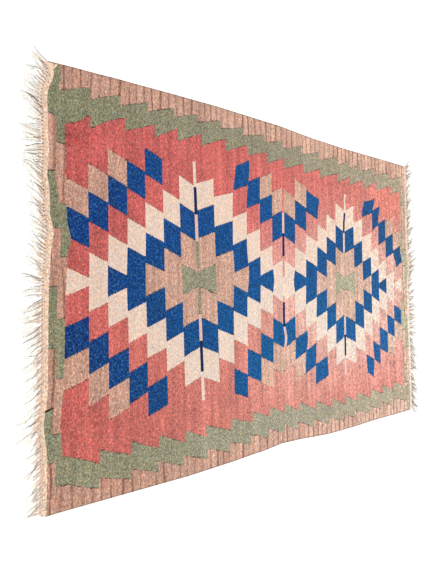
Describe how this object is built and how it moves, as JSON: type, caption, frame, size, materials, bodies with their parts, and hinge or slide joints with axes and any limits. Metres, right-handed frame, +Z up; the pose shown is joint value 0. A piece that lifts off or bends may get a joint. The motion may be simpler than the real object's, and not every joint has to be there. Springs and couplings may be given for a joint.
{
  "type": "area rug",
  "caption": "Flat-woven wool kilim rug with stepped medallions in blue, cream, sage and tan on a coral field, stepped borders and a knotted fringe at both ends.",
  "frame": {"origin": "on the floor, under the middle of the rug and its fringes", "axes": "+X along the warps, from one fringe to the other; +Y across the rug, along the wefts; +Z up"},
  "size_m": [1.9737, 1.2726, 0.004],
  "materials": {
    "coral_wool": "matt wool, weft-faced weave",
    "sage_wool": "matt wool, weft-faced weave",
    "tan_wool": "matt wool, weft-faced weave",
    "blue_wool": "matt wool, weft-faced weave",
    "cream_wool": "matt wool, weft-faced weave",
    "blush_wool": "matt wool, weft-faced weave",
    "undyed_yarn": "matt undyed yarn, plied and knotted",
    "selvedge_wool": "matt wool, weft-faced weave"
  },
  "bodies": {
    "root": {"coral_field_bottom": "coral_wool", "coral_field_top": "coral_wool", "end_band_left": "undyed_yarn", "end_band_right": "undyed_yarn", "end_cord_left": "undyed_yarn", "end_cord_right": "undyed_yarn", "fringe_left": "undyed_yarn", "fringe_right": "undyed_yarn", "knots_left": "undyed_yarn", "knots_right": "undyed_yarn", "left_medallion_blue_ring": "blue_wool", "left_medallion_blue_wings": "blue_wool", "left_medallion_cream_ring": "cream_wool", "left_medallion_sage_centre": "sage_wool", "left_medallion_tan_ground": "tan_wool", "left_medallion_tan_wings": "tan_wool", "right_medallion_blue_ring": "blue_wool", "right_medallion_blue_wings": "blue_wool", "right_medallion_cream_ring": "cream_wool", "right_medallion_sage_centre": "sage_wool", "right_medallion_tan_ground": "tan_wool", "right_medallion_tan_wings": "tan_wool", "sage_border_bottom": "sage_wool", "sage_border_top": "sage_wool", "sage_steps_left": "sage_wool", "sage_steps_right": "sage_wool", "selvedge_bottom": "selvedge_wool", "selvedge_top": "selvedge_wool", "stem_blue_blocks": "blue_wool", "stem_blush_blocks": "blush_wool", "stem_cream_blocks": "cream_wool", "stem_sage_blocks": "sage_wool", "tan_border_bottom": "tan_wool", "tan_border_top": "tan_wool", "tan_panel_left": "tan_wool", "tan_panel_right": "tan_wool"}
  },
  "joints": []
}
